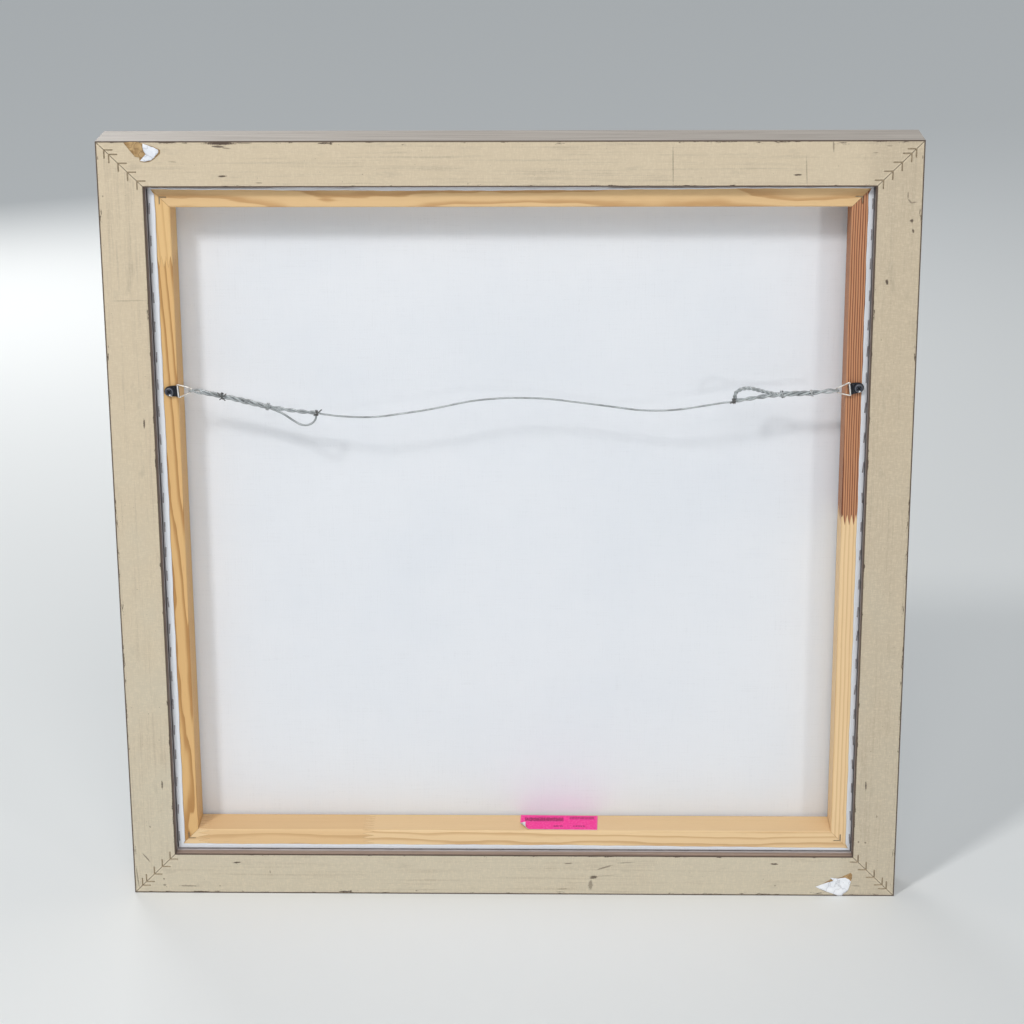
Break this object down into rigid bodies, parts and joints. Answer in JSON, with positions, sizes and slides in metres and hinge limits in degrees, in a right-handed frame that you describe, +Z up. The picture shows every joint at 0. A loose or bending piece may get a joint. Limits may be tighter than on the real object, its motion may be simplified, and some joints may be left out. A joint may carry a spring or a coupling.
{
  "type": "stretched canvas",
  "caption": "Square canvas stretched on mitred pine bars, set in a deep wooden frame, with two ring hangers and a braided hanging wire across the back.",
  "frame": {"origin": "bottom centre of the frame, on the surface that its bottom rail stands on", "axes": "+X right and +Z up as seen from the back of the picture, +Y from the back of the picture towards its painted front"},
  "size_m": [0.692, 0.0516, 0.692],
  "materials": {
    "frame_paint": "matt cream paint on the back, a brushed grey-brown finish on the sides and front, brown in the rabbet",
    "pine": "bare finger-jointed pine",
    "canvas_cloth": "primed cotton canvas, plain weave",
    "v_nail_steel": "dull steel, seen edge on",
    "strap_black": "black satin plating",
    "ring_nickel": "bright nickel",
    "wire_steel": "braided galvanised wire",
    "sticker_pink": "coated paper label",
    "backing_paper": "torn backing paper"
  },
  "bodies": {
    "root": {"frame_rail_bottom": "frame_paint", "frame_rail_right": "frame_paint", "frame_rail_top": "frame_paint", "frame_rail_left": "frame_paint", "frame_v_nail_bottom_left_1": "v_nail_steel", "frame_v_nail_bottom_left_2": "v_nail_steel", "frame_v_nail_bottom_left_3": "v_nail_steel", "frame_v_nail_bottom_left_4": "v_nail_steel", "frame_v_nail_bottom_left_5": "v_nail_steel", "frame_v_nail_bottom_right_1": "v_nail_steel", "frame_v_nail_bottom_right_2": "v_nail_steel", "frame_v_nail_bottom_right_3": "v_nail_steel", "frame_v_nail_bottom_right_4": "v_nail_steel", "frame_v_nail_bottom_right_5": "v_nail_steel", "frame_v_nail_top_right_1": "v_nail_steel", "frame_v_nail_top_right_2": "v_nail_steel", "frame_v_nail_top_right_3": "v_nail_steel", "frame_v_nail_top_right_4": "v_nail_steel", "frame_v_nail_top_right_5": "v_nail_steel", "frame_v_nail_top_left_1": "v_nail_steel", "frame_v_nail_top_left_2": "v_nail_steel", "frame_v_nail_top_left_3": "v_nail_steel", "frame_v_nail_top_left_4": "v_nail_steel", "frame_v_nail_top_left_5": "v_nail_steel", "stretcher_bar_bottom": "pine", "stretcher_bar_right": "pine", "stretcher_bar_top": "pine", "stretcher_bar_left": "pine", "stretcher_v_nail_bottom_left": "v_nail_steel", "stretcher_v_nail_bottom_right": "v_nail_steel", "stretcher_v_nail_top_right": "v_nail_steel", "stretcher_v_nail_top_left": "v_nail_steel", "canvas": "canvas_cloth", "hanger_screw_left": "strap_black", "hanger_screw_right": "strap_black", "hanging_wire": "wire_steel", "wire_tail_left": "wire_steel", "wire_tail_right": "wire_steel", "wire_eye_left": "wire_steel", "wire_eye_right": "wire_steel", "wire_binding_left_1": "wire_steel", "wire_binding_left_2": "wire_steel", "wire_binding_left_3": "wire_steel", "wire_binding_right_1": "wire_steel", "wire_binding_right_2": "wire_steel", "wire_binding_right_3": "wire_steel", "size_sticker": "sticker_pink", "paper_scrap_top": "backing_paper", "paper_scrap_bottom": "backing_paper"},
    "left_hanger": {"hanger_strap_left": "strap_black"},
    "left_ring": {"hanger_ring_left": "ring_nickel"},
    "right_hanger": {"hanger_strap_right": "strap_black"},
    "right_ring": {"hanger_ring_right": "ring_nickel"}
  },
  "joints": [
    {"name": "left_hanger_swivel", "type": "hinge", "parent": "root", "child": "left_hanger", "pos_m": [-0.29445, -0.0155, 0.473], "axis": [0, 1, 0], "range_deg": [-15, 15]},
    {"name": "left_ring_swing", "type": "hinge", "parent": "left_hanger", "child": "left_ring", "pos_m": [-0.28747, -0.0174, 0.47349], "axis": [0.0698, 0, -0.9976], "range_deg": [-30, 45], "deforming": ["hanging_wire", "wire_tail_left", "wire_eye_left", "wire_binding_left_1", "wire_binding_left_2", "wire_binding_left_3"]},
    {"name": "right_hanger_swivel", "type": "hinge", "parent": "root", "child": "right_hanger", "pos_m": [0.29865, -0.0165, 0.4769], "axis": [0, 1, 0], "range_deg": [-15, 15]},
    {"name": "right_ring_swing", "type": "hinge", "parent": "right_hanger", "child": "right_ring", "pos_m": [0.2917, -0.0184, 0.47605], "axis": [-0.1219, 0, 0.9925], "range_deg": [-20, 45], "deforming": ["hanging_wire", "wire_tail_right", "wire_eye_right", "wire_binding_right_1", "wire_binding_right_2", "wire_binding_right_3"]}
  ]
}
